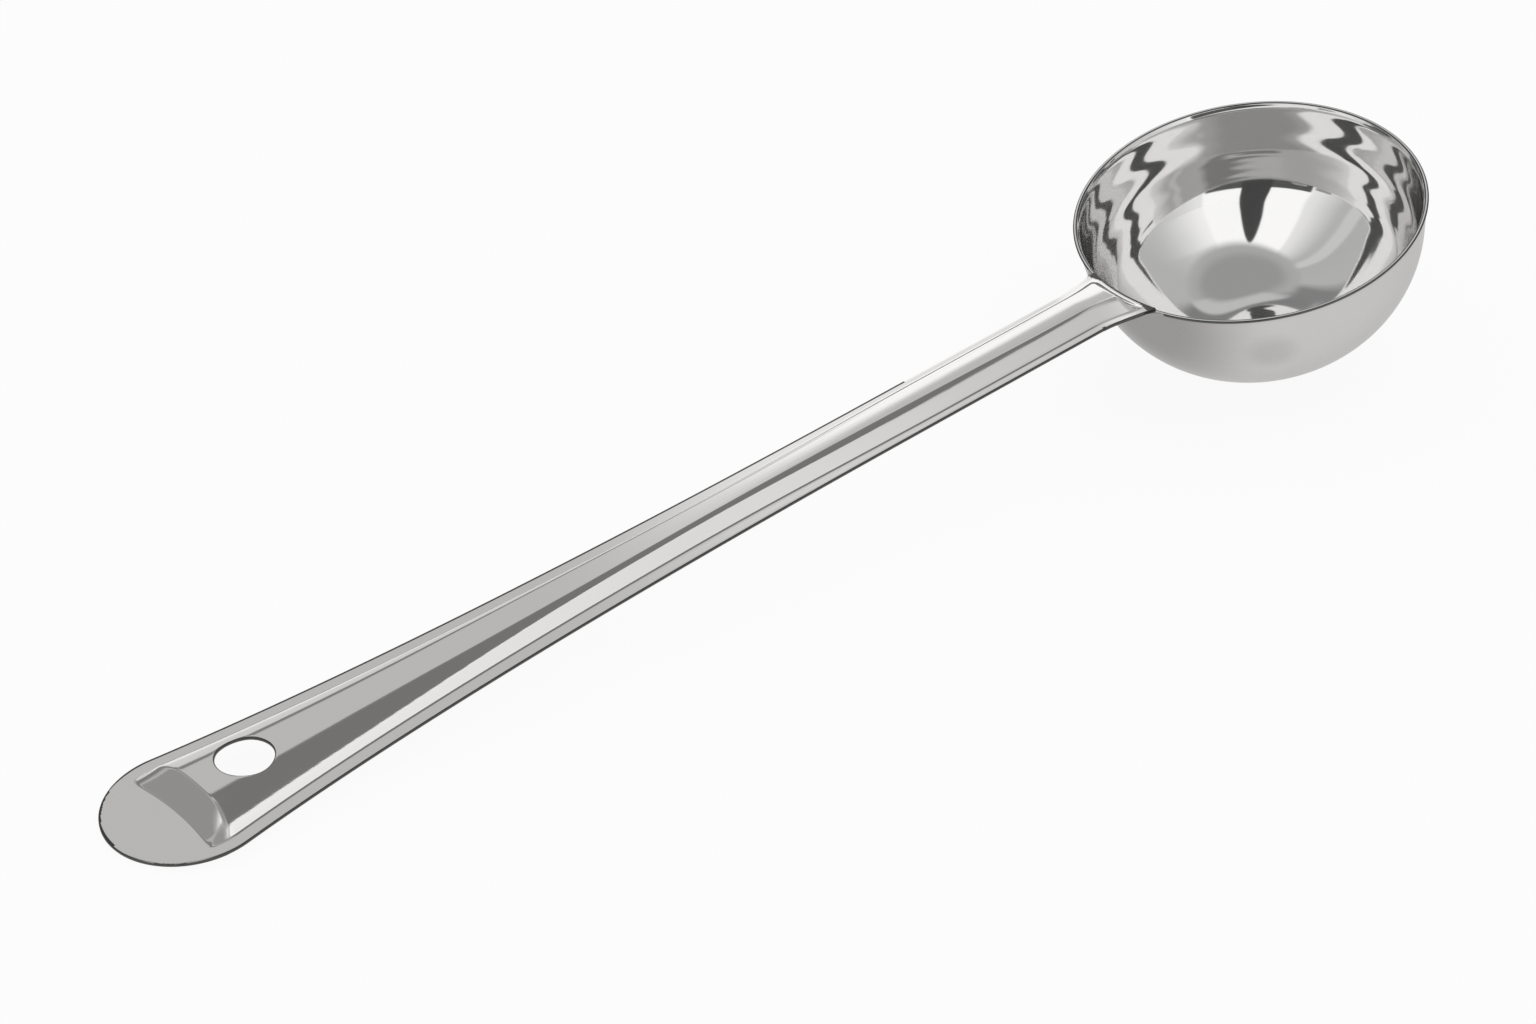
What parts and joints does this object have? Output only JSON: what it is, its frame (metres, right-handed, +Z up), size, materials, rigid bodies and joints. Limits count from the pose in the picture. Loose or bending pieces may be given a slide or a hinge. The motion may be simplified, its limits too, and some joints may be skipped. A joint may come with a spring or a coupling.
{
  "type": "ladle",
  "caption": "Polished steel soup ladle: a round deep-drawn bowl with a trimmed lip, welded to a long pressed handle with a rib and a hang hole in its broad rounded end.",
  "frame": {"origin": "on the table that the ladle lies on, under the middle of its bounding box", "axes": "+X from the handle's tip towards the bowl, +Z up from the table, and the XZ plane halves the ladle"},
  "size_m": [0.3868, 0.09, 0.0515],
  "materials": {
    "bowl_steel": "mirror polish inside, fine satin outside",
    "handle_steel": "bright polish",
    "weld_steel": "ground and polished bead"
  },
  "bodies": {
    "root": {"bowl": "bowl_steel", "handle": "handle_steel", "weld_seam": "weld_steel", "weld_left": "weld_steel", "weld_right": "weld_steel"}
  },
  "joints": []
}
